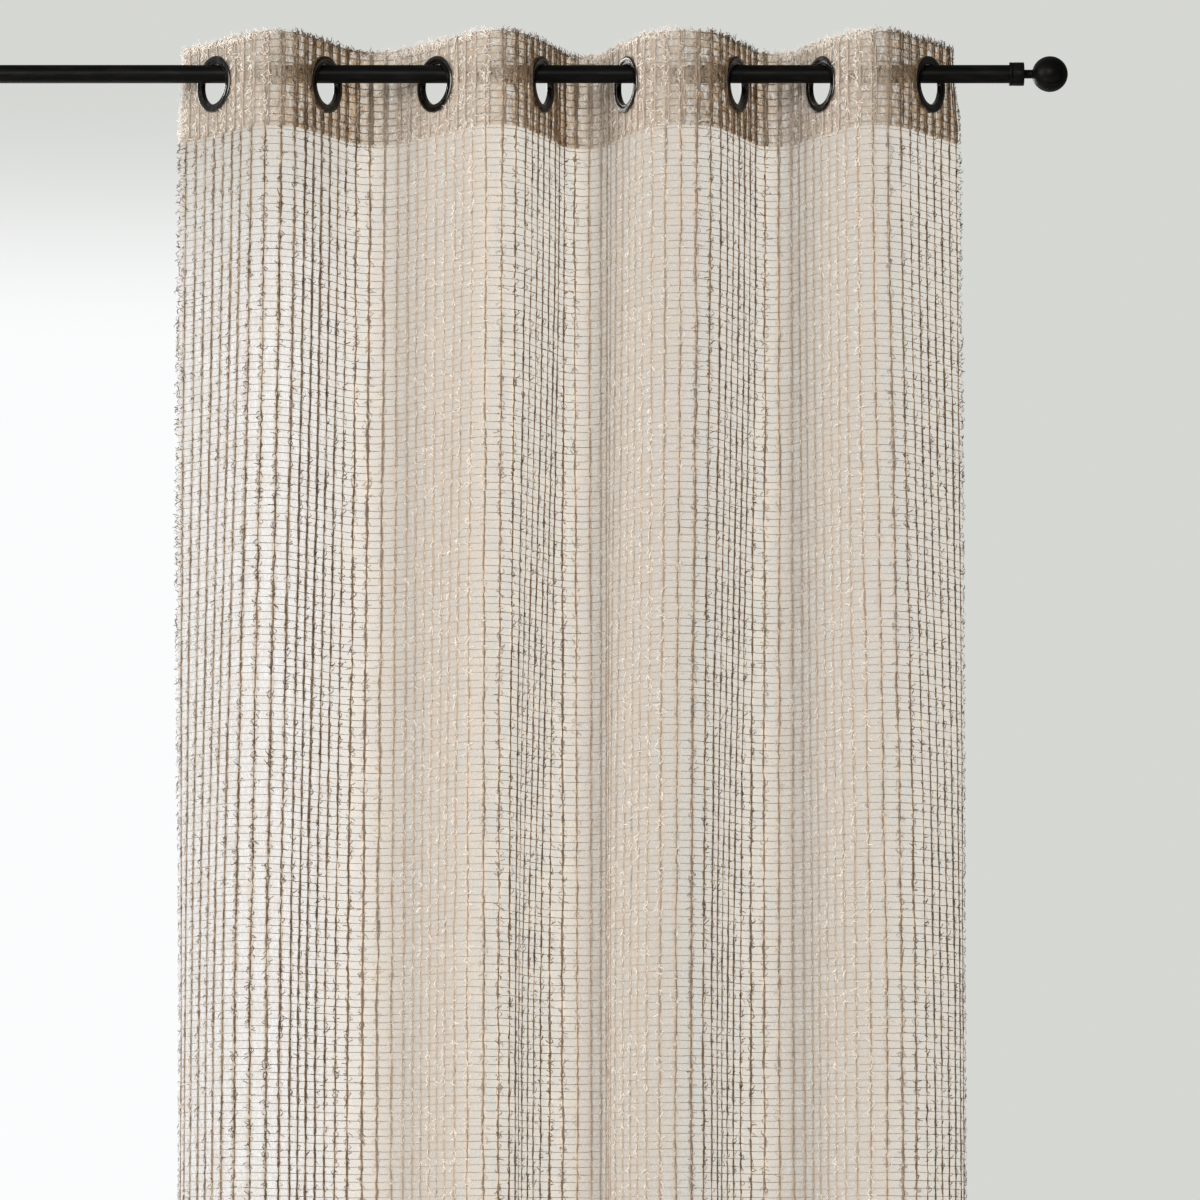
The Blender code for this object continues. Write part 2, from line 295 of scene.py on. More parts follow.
@dataclass(frozen=True)
class HazeFinish:
    """The thin felt of fine fibres that fills the gaps of the net.

    cover is how much of a gap the fibres fill. It is denser near each yarn and in the hem; it is painted
    denser, in another colour, on the fold sides that face the light and thinner on those that face away:
    painted light and shade. The cloth's left part has its own cover and a darker colour: painted shade.
    """

    name: str
    colour: Colour
    pale: Colour
    painted_light: Colour
    cover: float
    contrast: float
    first_yarn: float
    yarn_pitch: float
    fibre_scale: Colour = (420.0, 230.0, 1.0)
    patch_scale: Colour = (75.0, 30.0, 1.0)
    patch_contrast: float = 0.6
    halo_reach: tuple[float, float] = (0.6 * MILLIMETRE, 4.8 * MILLIMETRE)
    lit_side_cover: float = 0.20
    left_side: tuple[float, float] = (0.23, 0.33)
    left_shade_cover: float = 0.06
    left_shade_colour: Colour = (0.43, 0.375, 0.31)
    left_shade_share: float = 0.85
    top_start: float = -0.068
    top_cover: float = 0.0
    hem_cover: float = 0.22
    hem_top: float = -2.333
    halo: float = 0.48
    translucent: float = 0.5

    def material(self) -> bpy.types.Material:
        """Build the material.

        Returns:
            A material that reads the cloth's own UV map, in metres of cut cloth.
        """
        graph = new_graph(self.name)
        cloth = graph.node("ShaderNodeUVMap", {"uv_map": VoileSheet.UV_NAME}).outputs[0]
        fine = graph.noise(cloth, self.fibre_scale, distortion=0.8)
        patch = graph.noise(cloth, self.patch_scale)
        parts = graph.node("ShaderNodeSeparateXYZ", None, {0: cloth})
        across, height = graph.value(parts, "X"), graph.value(parts, "Y")
        from_yarn = (across - self.first_yarn).to_and_fro(self.yarn_pitch / 2)
        halo = 1.0 - graph.step(from_yarn, *self.halo_reach)
        hem = 1.0 - graph.step(height, self.hem_top - MILLIMETRE, self.hem_top + MILLIMETRE)
        cover = ((fine - 0.5) * self.contrast + (patch - 0.5) * self.patch_contrast
                 + halo * self.halo + self.cover)
        # Painted light and shade: more cover on the fold sides that face the light, less on those that face
        # away.
        cover = cover + (graph.attribute(LIT_SIDE_ATTRIBUTE) - 0.5) * self.lit_side_cover + hem * self.hem_cover
        # Painted shade: the cloth's left part gets more cover here and, below, a darker colour.
        on_left = 1.0 - graph.step(across, *self.left_side)
        cover = cover + on_left * self.left_shade_cover
        cover = cover + graph.step(height, self.top_start - MILLIMETRE,
                                   self.top_start + MILLIMETRE) * self.top_cover
        cover = cover.at_least(0.0).at_most(1.0)
        colour = graph.blend(graph.step(patch, 0.35, 0.65), self.colour, self.pale)
        # Painted light: the fold sides that face the light take their own colour.
        colour = graph.blend(graph.attribute(LIT_SIDE_ATTRIBUTE), colour, self.painted_light)
        # Painted shade: the cloth's left part takes a darker colour.
        colour = graph.blend(on_left * self.left_shade_share, colour, self.left_shade_colour)
        felt = graph.node("ShaderNodeBsdfPrincipled", None, {
            "Base Color": colour, "Roughness": 0.95, "Specular IOR Level": 0.1})
        through = graph.node("ShaderNodeBsdfTranslucent", None, {"Color": colour})
        clear = graph.node("ShaderNodeBsdfTransparent")
        fibres = graph.node("ShaderNodeMixShader", None, {
            0: self.translucent, 1: felt.outputs[0], 2: through.outputs[0]})
        graph.finish(graph.node("ShaderNodeMixShader", None, {
            0: cover, 1: clear.outputs[0], 2: fibres.outputs[0]}).outputs[0])
        return graph.owner


@dataclass(frozen=True)
class DarkChromeFinish:
    """Black nickel plate, bright on its curves, with faint handling marks."""

    name: str = "black_nickel"
    colour: Colour = (0.046, 0.045, 0.042)
    worn: Colour = (0.085, 0.082, 0.076)
    polish: float = 0.13
    cloud_roughness: float = 0.12
    rub_roughness: float = 0.04

    def material(self) -> bpy.types.Material:
        """Build the material.

        Returns:
            A material that reads object coordinates.
        """
        graph = new_graph(self.name)
        place = graph.node("ShaderNodeTexCoord").outputs["Object"]
        cloudy = graph.noise(place, 160.0, 3.0)
        rub = graph.noise(place, (1400.0, 1400.0, 260.0), 2.0)
        roughness = (self.polish + graph.step(cloudy, 0.35, 0.75) * self.cloud_roughness
                     + rub * self.rub_roughness)
        plate = graph.node("ShaderNodeBsdfPrincipled", None, {
            "Base Color": graph.blend(graph.step(cloudy, 0.5, 0.8), self.colour, self.worn),
            "Metallic": 1.0, "Roughness": roughness,
            "Normal": graph.bump(rub, 0.02 * MILLIMETRE, 0.25)})
        graph.finish(plate.outputs[0])
        return graph.owner


@dataclass(frozen=True)
class SatinBlackFinish:
    """Powder-coated steel: near black, satin, with the coat's fine orange peel."""

    name: str = "satin_black"
    colour: Colour = (0.0030, 0.0029, 0.0028)
    rubbed: Colour = (0.0070, 0.0066, 0.0062)
    specular: float = 0.05
    roughness: float = 0.36
    peel_per_metre: float = 900.0

    def material(self) -> bpy.types.Material:
        """Build the material.

        Returns:
            A material that reads object coordinates.
        """
        graph = new_graph(self.name)
        place = graph.node("ShaderNodeTexCoord").outputs["Object"]
        peel = graph.noise(place, self.peel_per_metre, 2.0)
        rub = graph.step(graph.noise(place, (35.0, 220.0, 220.0), 3.0), 0.45, 0.75)
        coat = graph.node("ShaderNodeBsdfPrincipled", None, {
            "Base Color": graph.blend(rub, self.colour, self.rubbed),
            "Roughness": self.roughness - rub * 0.07 + peel * 0.05,
            "Specular IOR Level": self.specular,
            "Normal": graph.bump(peel, 0.04 * MILLIMETRE, 0.35)})
        graph.finish(coat.outputs[0])
        return graph.owner


@dataclass(frozen=True)
class PaleFloorFinish:
    """A plain pale matt floor."""

    name: str = "pale_floor"
    colour: Colour = (0.53, 0.53, 0.515)
    cloud: Colour = (0.57, 0.57, 0.555)

    def material(self) -> bpy.types.Material:
        """Build the material.

        Returns:
            A material that reads object coordinates.
        """
        graph = new_graph(self.name)
        place = graph.node("ShaderNodeTexCoord").outputs["Object"]
        cloudy = graph.noise(place, 0.8, 3.0)
        floor = graph.node("ShaderNodeBsdfPrincipled", None, {
            "Base Color": graph.blend(cloudy, self.colour, self.cloud), "Roughness": 0.8})
        graph.finish(floor.outputs[0])
        return graph.owner


# The folds


def eased(part: np.ndarray | float) -> np.ndarray | float:
    """A straight rise from 0 to 1, made smooth at both ends."""
    return part * part * (3.0 - 2.0 * part)


@dataclass(frozen=True)
class EyeletLine:
    """The line of cloth under one eyelet, at the rod and at its lower form.

    cloth is measured along the cut cloth from its left edge, x along the rod from its
    middle, and forward towards the room. A turn is in degrees from the rod.
    """

    cloth: float
    upper_x: float
    upper_turn: float
    lower_x: float
    lower_forward: float
    lower_turn: float


@dataclass(frozen=True)
class SideEdge:
    """The turn of a free side edge at the top, under the heading and at the lower form."""

    top_turn: float
    upper_turn: float
    lower_turn: float


@dataclass
class ClothPlan:
    """The hung cloth: where each place of the cut cloth hangs, in the solids' own folds.

    An eyelet holds flat_half of cloth flat on each side of its line, less and less on the way down. Two ranges
    say between which turns, and between which places of the cut cloth, the painted light on the fold sides
    that face the light begins and is full.
    """

    width: float = 1.400
    drop: float = 2.400
    top_z: float = 0.037
    heading_depth: float = 0.105
    lower_form_z: float = -1.120
    flat_half_upper: float = 0.0320
    flat_half_lower: float = 0.0040
    step: float = 0.001
    rows: int = 193
    first_swell: float = 0.2
    tolerance: float = 1e-7
    nudge: float = 1e-5
    stride: float = 0.2
    solve_rounds: int = 30
    light_paint_turns: tuple[float, float] = (-60.0, 36.0)
    light_paint_cloth: tuple[float, float] = (0.14, 0.36)
    light_paint_blend: float = 0.004
    lines: tuple[EyeletLine, ...] = (
        EyeletLine(0.059, -0.2812, 51.0, -0.291, 0.000, 57.0),
        EyeletLine(0.236, -0.1612, -61.0, -0.173, -0.007, -56.0),
        EyeletLine(0.412, -0.0404, 51.0, -0.045, -0.003, 57.0),
        EyeletLine(0.594, 0.0742, -68.0, 0.057, -0.028, -68.0),
        EyeletLine(0.795, 0.1679, 66.0, 0.160, 0.006, 59.0),
        EyeletLine(0.981, 0.2861, -67.0, 0.271, -0.001, -67.0),
        EyeletLine(1.156, 0.3797, 61.0, 0.383, 0.006, 60.0),
        EyeletLine(1.334, 0.4964, -57.0, 0.507, 0.000, -60.0),
    )
    left_edge: SideEdge = SideEdge(56.0, 36.0, 78.0)
    right_edge: SideEdge = SideEdge(-88.0, -62.0, -79.0)
    table: np.ndarray = field(init=False, repr=False)

    def __post_init__(self) -> None:
        """Work out the plan of the cloth at each row of heights."""
        made: list[np.ndarray] = []
        for z in np.linspace(self.top_z, self.hem_z, self.rows):
            settled = z < self.lower_form_z and made and self._settled_before(z)
            made.append(made[-1] if settled else self._plan(z))
        self.table = np.stack(made)

    @property
    def hem_z(self) -> float:
        """The height of the lower edge."""
        return self.top_z - self.drop

    @property
    def heading_z(self) -> float:
        """The height of the heading's lower edge."""
        return self.top_z - self.heading_depth

    def _settled_before(self, z: float) -> bool:
        """True if the row above z already has the lower form."""
        return z + self.drop / (self.rows - 1) < self.lower_form_z

    @staticmethod
    def _eased(start_z: float, end_z: float, z: float) -> float:
        """How far a change has come at a height, from 0 to 1."""
        return eased(min(max((start_z - z) / (start_z - end_z), 0.0), 1.0))

    @staticmethod
    def _walk(cloth: np.ndarray, turns: np.ndarray) -> tuple[np.ndarray, np.ndarray]:
        """The path of cloth with the given turns, from a start at 0, 0."""
        stride = np.diff(cloth)
        middle = (turns[1:] + turns[:-1]) / 2
        along = np.concatenate(([0.0], np.cumsum(stride * np.cos(middle))))
        forward = np.concatenate(([0.0], np.cumsum(stride * np.sin(middle))))
        return along, forward

    @staticmethod
    def _bay_turns(cloth: np.ndarray, flat: float, start: float, end: float, swell: float,
                   lean: float) -> np.ndarray:
        """Turns across a bay: flat at both eyelets, and one soft fold between them."""
        share = np.clip((cloth - flat) / (cloth[-1] - 2 * flat), 0.0, 1.0)
        ease = (1 - np.cos(np.pi * share)) / 2
        fold = swell * np.sin(2 * np.pi * share) + lean * np.sin(np.pi * share)
        return start * (1 - ease) + end * ease + fold

    def _fit_bay(self, cloth: np.ndarray, flat: float, start: float, end: float,
                 target: np.ndarray) -> np.ndarray:
        """The turns with which a bay ends on its target, by Newton's method.

        Args:
            cloth: Places along the bay's cloth.
            flat: Half the cloth that each eyelet holds flat.
            start: The turn at the bay's first eyelet.
            end: The turn at its last one.
            target: How far along and forward the bay ends.

        Returns:
            The turn at each place.
        """
        unknown = np.array([math.copysign(self.first_swell, start), 0.0])

        def miss(values: np.ndarray) -> np.ndarray:
            """How far the path ends from its target."""
            along, forward = self._walk(cloth, self._bay_turns(cloth, flat, start, end, *values))
            return np.array([along[-1], forward[-1]]) - target

        for _ in range(self.solve_rounds):
            off = miss(unknown)
            if np.abs(off).max() < self.tolerance:
                break
            slope = np.column_stack([(miss(unknown + nudge) - off) / self.nudge
                                     for nudge in np.eye(2) * self.nudge])
            unknown += np.clip(np.linalg.solve(slope, -off), -self.stride, self.stride)
        return self._bay_turns(cloth, flat, start, end, *unknown)

    def _steps(self, width: float) -> np.ndarray:
        """Fine places across a width of cloth."""
        return np.linspace(0.0, width, round(width / self.step) + 1)

    def _edge_turn(self, edge: SideEdge, z: float, share: float) -> float:
        """The turn of a free edge at a height, in radians."""
        top = self._eased(self.top_z, self.heading_z, z)
        upper = edge.top_turn + (edge.upper_turn - edge.top_turn) * top
        return math.radians(upper + (edge.lower_turn - upper) * share)

    def _margin(self, width: float, flat: float, line_turn: float,
                free_turn: float) -> tuple[np.ndarray, ...]:
        """Steps, path and turns from an eyelet's line out to the free side edge."""
        steps = self._steps(width)
        share = np.clip((steps - flat) / (width - flat), 0.0, 1.0)
        ease = (1 - np.cos(np.pi * share)) / 2
        turns = line_turn * (1 - ease) + free_turn * ease
        return steps, *self._walk(steps, turns), turns

    def _plan(self, z: float) -> np.ndarray:
        """The cloth from above at one height.

        Args:
            z: The height.

        Returns:
            Rows of x, forward and turn, with a column for each millimetre of cloth.
        """
        share = self._eased(self.heading_z, self.lower_form_z, z)
        flat = self.flat_half_upper + (self.flat_half_lower - self.flat_half_upper) * share
        starts = [(line.upper_x + (line.lower_x - line.upper_x) * share,
                   line.lower_forward * share,
                   math.radians(line.upper_turn + (line.lower_turn - line.upper_turn) * share))
                  for line in self.lines]
        x, forward, turn = starts[0]
        _, along, ahead, turns = self._margin(self.lines[0].cloth, flat, turn,
                                              self._edge_turn(self.left_edge, z, share))
        pieces = [np.array([x - along, forward - ahead, turns])[:, :0:-1]]
        for left, right, begin, end in zip(self.lines, self.lines[1:], starts, starts[1:]):
            steps = self._steps(right.cloth - left.cloth)
            target = np.array(end[:2]) - np.array(begin[:2])
            turns = self._fit_bay(steps, flat, begin[2], end[2], target)
            along, ahead = self._walk(steps, turns)
            pieces.append(np.array([begin[0] + along, begin[1] + ahead, turns])[:, :-1])
        x, forward, turn = starts[-1]
        _, along, ahead, turns = self._margin(self.width - self.lines[-1].cloth, flat, turn,
                                              self._edge_turn(self.right_edge, z, share))
        pieces.append(np.array([x + along, forward + ahead, turns]))
        return np.concatenate(pieces, axis=1)

    def look_up(self, cloth: np.ndarray, z: np.ndarray) -> np.ndarray:
        """Where places of the cut cloth hang.

        Args:
            cloth: Distances from the left edge.
            z: Their heights.

        Returns:
            x, forward and turn, each in the shape of the arguments.
        """
        cloth, z = np.broadcast_arrays(cloth, z)
        row = (self.top_z - z) / self.drop * (self.rows - 1)
        column = cloth / self.step
        r0 = np.clip(np.floor(row).astype(int), 0, self.rows - 2)
        c0 = np.clip(np.floor(column).astype(int), 0, self.table.shape[2] - 2)
        fr, fc = np.clip(row - r0, 0.0, 1.0), column - c0
        table = self.table.transpose(1, 0, 2)
        upper = table[:, r0, c0] * (1 - fc) + table[:, r0, c0 + 1] * fc
        lower = table[:, r0 + 1, c0] * (1 - fc) + table[:, r0 + 1, c0 + 1] * fc
        return upper * (1 - fr) + lower * fr

    def painted_light(self, cloth: np.ndarray, z: np.ndarray) -> np.ndarray:
        """How much painted light each place of the cloth gets, on the fold sides that face the light.

        Args:
            cloth: Distances from the left edge.
            z: Their heights.

        Returns:
            0 where a fold turns to the right, up to 1 elsewhere, and 0 on the left under the
            heading.
        """
        turn = np.degrees(self.look_up(cloth, z)[2])

        def rising(value: np.ndarray, low: float, high: float) -> np.ndarray:
            """A smooth step, 0 at low and 1 at high."""
            return eased(np.clip((value - low) / (high - low), 0.0, 1.0))

        in_heading = rising(z, self.heading_z - self.light_paint_blend,
                            self.heading_z + self.light_paint_blend)
        return rising(turn, *self.light_paint_turns) * np.maximum(
            rising(cloth, *self.light_paint_cloth), in_heading)

    def hang(self, cloth: np.ndarray, z: np.ndarray,
             shift: np.ndarray | float) -> tuple[np.ndarray, np.ndarray, np.ndarray]:
        """Points of the hung cloth with their directions.

        Args:
            cloth: Distances from the left edge.
            z: Their heights.
            shift: How far each stands from the folds' middle surface, towards the room.

        Returns:
            The points, the unit vectors along the cloth and those towards the room.
        """
        x, forward, turn = self.look_up(cloth, z)
        sine, cosine, level = np.sin(turn), np.cos(turn), np.zeros_like(turn)
        along = np.stack([cosine, -sine, level], axis=-1)
        out = np.stack([-sine, -cosine, level], axis=-1)
        base = np.stack([x, -forward, np.broadcast_to(z, x.shape)], axis=-1)
        return base + np.asarray(shift)[..., None] * out, along, out


# Making meshes


def add_piece(name: str, mesh: bpy.types.Mesh, material: bpy.types.Material) -> bpy.types.Object:
    """Show a mesh as a piece of the curtain.

    Args:
        name: The piece's name.
        mesh: Its mesh, in place.
        material: Its material.

    Returns:
        The piece, riding on the one body.
    """
    mesh.materials.append(material)
    piece = bpy.data.objects.new(name, mesh)
    bpy.context.scene.collection.objects.link(piece)
    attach(piece, BODY)
    LOG.info("%s: %d faces", name, len(mesh.polygons))
    return piece


def to_mesh(name: str, bm: bmesh.types.BMesh, smooth: bool = True) -> bpy.types.Mesh:
    """Turn a bmesh into a mesh and free it."""
    mesh = bpy.data.meshes.new(name)
    bm.to_mesh(mesh)
    bm.free()
    if smooth:
        mesh.shade_smooth()
    return mesh


def keep_painted_light(mesh: bpy.types.Mesh, painted_light: np.ndarray) -> None:
    """Keep how much painted light each point of a mesh gets, for its material."""
    mesh.attributes.new(LIT_SIDE_ATTRIBUTE, "FLOAT", "POINT").data.foreach_set("value", painted_light)


@dataclass(frozen=True)
class Wander:
    """Smooth random wandering along strands.

    reach is how far it mostly goes either way, and every is how many points of a strand
    lie between two turns.
    """

    reach: float
    every: float

    def draw(self, rng: np.random.Generator, strands: int, points: int) -> np.ndarray:
        """Draw the wandering of some strands.

        Args:
            rng: The seeded source.
            strands: How many rows.
            points: How many points in a row.

        Returns:
            One row for each strand.
        """
        place = np.arange(points) / self.every
        knots = np.clip(rng.standard_normal((strands, int(place[-1]) + 2)) * 0.6, -1.4, 1.4)
        low = place.astype(int)
        part = eased(place - low)
        return self.reach * (knots[:, low] * (1 - part) + knots[:, low + 1] * part)


class StrandBundle:
    """Many three-sided strands gathered into one mesh."""

    SIDES = 3

    def __init__(self) -> None:
        """Start with no strand."""
        self.points: list[np.ndarray] = []
        self.light_paint_share: list[np.ndarray] = []
        self.faces: list[list[int]] = []
        self.count = 0

    def add(self, centres: np.ndarray, across: np.ndarray, out: np.ndarray,
            half_width: np.ndarray, half_depth: np.ndarray, painted_light: np.ndarray,
            kept: np.ndarray) -> None:
        """Add strands of equal length, each with a flat back and a crest in front.

        Args:
            centres: Their centre lines, (strands, points, 3).
            across: Unit vectors over the strands' width.
            out: Unit vectors towards their crests.
            half_width: Half their width at each point.
            half_depth: The height of their crest at each point.
            painted_light: How much painted light they get at each point, on the fold sides that face the
                light.
            kept: False where a strand is cut away.
        """
        strands, length = kept.shape
        wide = across * half_width[..., None]
        deep = out * half_depth[..., None]
        rings = np.stack([centres - wide - deep * 0.5, centres + deep,
                          centres + wide - deep * 0.5], axis=2)
        index = self.count + np.arange(strands * length * self.SIDES).reshape(
            strands, length, self.SIDES)
        both = kept[:, 1:] & kept[:, :-1]
        for side in range(self.SIDES):
            after = (side + 1) % self.SIDES
            quads = np.stack([index[:, :-1, side], index[:, 1:, side], index[:, 1:, after],
                              index[:, :-1, after]], axis=-1)
            self.faces += quads[both].tolist()
        gone = np.zeros((strands, 1), bool)
        begins = kept & ~np.concatenate([gone, kept[:, :-1]], axis=1)
        ends = kept & ~np.concatenate([kept[:, 1:], gone], axis=1)
        self.faces += index[begins].tolist() + index[ends][:, ::-1].tolist()
        self.points.append(rings.reshape(-1, 3))
        self.light_paint_share.append(np.repeat(painted_light.reshape(-1), self.SIDES))
        self.count += strands * length * self.SIDES

    @classmethod
    def halves(cls, *strands: np.ndarray) -> list[StrandBundle]:
        """The strands as two bundles, from the arguments of add."""
        middle = len(strands[0]) // 2
        bundles = [cls(), cls()]
        for bundle, part in zip(bundles, (slice(0, middle), slice(middle, None))):
            bundle.add(*(array[part] for array in strands))
        return bundles

    @classmethod
    def joined(cls, bundles: list[StrandBundle]) -> StrandBundle:
        """One bundle with the strands of several."""
        whole = cls()
        for bundle in bundles:
            whole.points += bundle.points
            whole.light_paint_share += bundle.light_paint_share
            whole.faces += [[corner + whole.count for corner in face] for face in bundle.faces]
            whole.count += bundle.count
        return whole

    def mesh(self, name: str) -> bpy.types.Mesh:
        """The mesh of every strand so far.

        Args:
            name: The mesh's name.

        Returns:
            A mesh with no loose points, whose faces point outwards.
        """
        points = np.concatenate(self.points)
        used = np.unique(np.concatenate([np.ravel(face) for face in self._by_size()]))
        renumber = np.zeros(len(points), int)
        renumber[used] = np.arange(len(used))
        mesh = bpy.data.meshes.new(name)
        faces = [face for group in self._by_size() for face in renumber[group].tolist()]
        mesh.from_pydata(points[used].tolist(), [], faces)
        mesh.validate()
        keep_painted_light(mesh, np.concatenate(self.light_paint_share)[used])
        return mesh

    def _by_size(self) -> list[np.ndarray]:
        """The faces as one array for each number of corners."""
        sizes = sorted({len(face) for face in self.faces})
        return [np.array([face for face in self.faces if len(face) == size]) for size in sizes]


@dataclass
class Turned:
    """A round part, spun from its section about its own Z axis."""

    name: str
    section: list[tuple[float, float]]
    closed: bool
    segments: int = 96
    merge: float = 1e-6
    sharp_degrees: float = 50.0

    def mesh(self, place: Matrix) -> bpy.types.Mesh:
        """Spin the section.

        Args:
            place: Where the part goes.

        Returns:
            The part's mesh, in place, smooth but for its sharp corners.
        """
        bm = bmesh.new()
        points = [bm.verts.new((radius, 0.0, height)) for radius, height in self.section]
        edges = [bm.edges.new(pair) for pair in zip(points, points[1:])]
        if self.closed:
            edges.append(bm.edges.new((points[-1], points[0])))
        bmesh.ops.spin(bm, geom=points + edges, cent=(0, 0, 0), axis=(0, 0, 1), dvec=(0, 0, 0),
                       angle=2 * math.pi, steps=self.segments, use_merge=True,
                       use_duplicate=False)
        bmesh.ops.remove_doubles(bm, verts=bm.verts, dist=self.merge)
        bmesh.ops.recalc_face_normals(bm, faces=bm.faces)
        bmesh.ops.transform(bm, matrix=place, verts=bm.verts)
        mesh = to_mesh(self.name, bm)
        mesh.set_sharp_from_angle(angle=math.radians(self.sharp_degrees))
        return mesh


# Sub-assemblies


class Layer(Enum):
    """The two layers of cloth at the top, by how far they stand towards the room."""

    FRONT = 1.15 * MILLIMETRE
    BACK = -0.95 * MILLIMETRE


@dataclass
class Eyelets:
    """Eight pressed eyelets, each a front and a back flange on one barrel."""

    plan: ClothPlan
    finish: DarkChromeFinish
    rod_radius: float = 0.0100
    gap: float = 0.0003
    opening: float = 0.0220
    barrel_depth: float = 0.0018
    lip: tuple[float, float] = (0.0229, 0.0029)
    neck: float = 0.0230
    groove: float = 0.00225
    cut_radius: float = 0.0243
    arc_points: int = 91

    def drop(self, turn: float) -> float:
        """How far an eyelet's centre hangs under the rod's axis.

        Args:
            turn: The eyelet's turn in degrees.

        Returns:
            The drop with which its lip rests on the rod.
        """
        slant = math.radians(90.0 - abs(turn))
        angle = np.linspace(0.0, math.pi / 2, self.arc_points)
        drops = []
        for radius, depth in ((self.opening, self.barrel_depth), self.lip):
            side = depth * math.tan(slant) + self.rod_radius / math.cos(slant) * np.cos(angle)
            drops.append((np.sqrt((radius - self.gap) ** 2 - side ** 2)
                          - self.rod_radius * np.sin(angle)).min())
        return min(drops)

    def centres(self) -> list[tuple[float, float]]:
        """The place of each eyelet on the cut cloth, as (cloth, z)."""
        return [(line.cloth, -self.drop(line.upper_turn)) for line in self.plan.lines]

    def clear_of(self, cloth: np.ndarray, z: np.ndarray, radius: float) -> np.ndarray:
        """True for each place of the cloth outside every eyelet's radius."""
        cloth, z = np.broadcast_arrays(cloth, z)
        kept = np.ones(cloth.shape, bool)
        for centre, height in self.centres():
            kept &= np.hypot(cloth - centre, z - height) > radius
        return kept

    def section(self) -> list[tuple[float, float]]:
        """The eyelet's closed section: a rolled rim, a crown, a fine channel and the lip."""
        front = [
            (self.opening, self.barrel_depth), (0.02210, 0.0024), (0.0225, 0.0028), self.lip,
            (0.0234, 0.00292), (0.0238, 0.00284), (0.0241, 0.00275), (0.0244, 0.00292),
            (0.0250, 0.00325), (0.0260, 0.00352), (0.0270, 0.00364), (0.0281, 0.00366),
            (0.0292, 0.00356), (0.0301, 0.00332), (0.0307, 0.00300), (0.0310, 0.00268),
            (0.03095, 0.00245), (0.0306, self.groove), (self.neck, self.groove),
        ]
        return front + [(radius, -depth) for radius, depth in reversed(front)]

    def build(self) -> list[bpy.types.Object]:
        """Build every eyelet in its place on the rod.

        Returns:
            The eyelets, from the left.
        """
        material = self.finish.material()
        pieces = []
        for number, line in enumerate(self.plan.lines, start=1):
            turn = math.radians(line.upper_turn)
            facing = Vector((-math.sin(turn), -math.cos(turn), 0.0))
            place = (Matrix.Translation((line.upper_x, 0.0, -self.drop(line.upper_turn)))
                     @ facing.to_track_quat("Z", "Y").to_matrix().to_4x4())
            name = f"pressed_eyelet_{number}"
            mesh = Turned(name, self.section(), closed=True).mesh(place)
            piece = add_piece(name, mesh, material)
            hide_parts(f"eyelet_{number}")
            pieces.append(piece)
        return pieces


@dataclass
class RodWithFinials:
    """The rod, and a collar, neck and ball on each of its ends."""

    finish: SatinBlackFinish
    radius: float = 0.0100
    collar_start: float = 0.5840
    collar_length: float = 0.0160
    collar_radius: float = 0.0128
    socket_depth: float = 0.0145
    neck_radius: float = 0.0048
    ball_radius: float = 0.0195
    ball_centre: float = 0.0284
    gap: float = 0.0003
    round_over: float = 0.0006
    rod_shoulder: float = 0.0020
    neck_fillet: float = 0.0004
    groove: tuple[float, ...] = (0.70, 0.72, 0.76, 0.78)
    ball_points: int = 29

    def _rod_section(self) -> list[tuple[float, float]]:
        """The rod's section: a plain tube with turned-in ends."""
        end = self.collar_start + self.socket_depth - self.gap
        soft = self.round_over
        half = [(0.0, end), (self.radius - 2 * soft, end), (self.radius - soft, end - soft / 4),
                (self.radius, end - soft),
                (self.radius, self.collar_start - self.rod_shoulder)]
        return half + [(radius, -height) for radius, height in reversed(half)]

    def _finial_section(self) -> list[tuple[float, float]]:
        """A finial's section from the ball's tip to the socket's floor."""
        meets_neck = math.pi - math.asin((self.neck_radius + self.neck_fillet)
                                         / self.ball_radius)
        ball = [(self.ball_radius * math.sin(angle),
                 self.ball_centre + self.ball_radius * math.cos(angle))
                for angle in np.linspace(0.0, meets_neck, self.ball_points)]
        ball[0] = (0.0, ball[0][1])
        soft, outer, bottom = self.round_over, self.collar_radius, -self.collar_length
        socket = self.radius + self.gap
        grooves = [bottom * share for share in self.groove]
        collar = [
            (self.neck_radius, ball[-1][1] - soft), (self.neck_radius, soft),
            (self.neck_radius + soft, 0.0), (outer - soft, 0.0), (outer - soft / 4, -soft / 4),
            (outer, -soft), (outer, grooves[0]), (outer - soft / 2, grooves[1]),
            (outer - soft / 2, grooves[2]), (outer, grooves[3]),
            (outer, bottom + soft), (outer - soft / 4, bottom + soft / 4),
            (outer - soft, bottom), (socket, bottom), (socket, bottom + self.socket_depth),
            (0.0, bottom + self.socket_depth),
        ]
        return ball + collar

    def build(self) -> list[bpy.types.Object]:
        """Build the rod and both finials.

        Returns:
            The rod and the finials.
        """
        material = self.finish.material()
        lie_down = Matrix.Rotation(math.pi / 2, 4, "Y")
        mesh = Turned("curtain_rod", self._rod_section(), closed=False).mesh(lie_down)
        rod = add_piece("curtain_rod", mesh, material)
        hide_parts("rod")
        pieces = [rod]
        for side, direction in (("left", -1), ("right", 1)):
            place = (Matrix.Translation((direction * (self.collar_start + self.collar_length),
                                         0.0, 0.0))
                     @ Matrix.Rotation(direction * math.pi / 2, 4, "Y"))
            name = f"ball_finial_{side}"
            mesh = Turned(name, self._finial_section(), closed=False).mesh(place)
            finial = add_piece(name, mesh, material)
            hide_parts(f"finial_{side}")
            pieces.append(finial)
        return pieces


